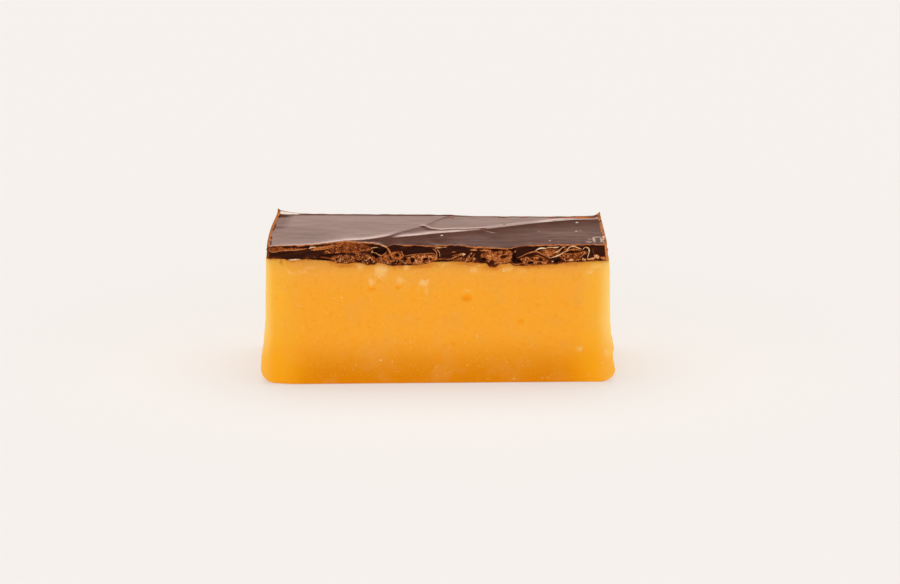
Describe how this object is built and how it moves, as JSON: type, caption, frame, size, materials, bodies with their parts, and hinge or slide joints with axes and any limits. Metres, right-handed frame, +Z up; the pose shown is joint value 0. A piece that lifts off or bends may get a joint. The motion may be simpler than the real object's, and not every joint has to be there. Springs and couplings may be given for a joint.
{
  "type": "chocolate orange fudge slab",
  "caption": "Hand-cut slab of orange fudge under a poured layer of dark chocolate, with a smooth slumped body and a torn, folded cut edge along the top front.",
  "frame": {"origin": "under the middle of the slab's outer box, on the surface that it stands on", "axes": "+X along the slab, +Y from the torn front cut to the back, +Z up from the fudge to the chocolate"},
  "size_m": [0.0846, 0.0362, 0.0347],
  "materials": {
    "fudge": "soft satin orange fudge, slightly translucent at its edges",
    "chocolate": "dark chocolate, semi-gloss where it was poured and matt brown where it tore"
  },
  "bodies": {
    "root": {"fudge_block": "fudge", "chocolate_layer": "chocolate"}
  },
  "joints": []
}
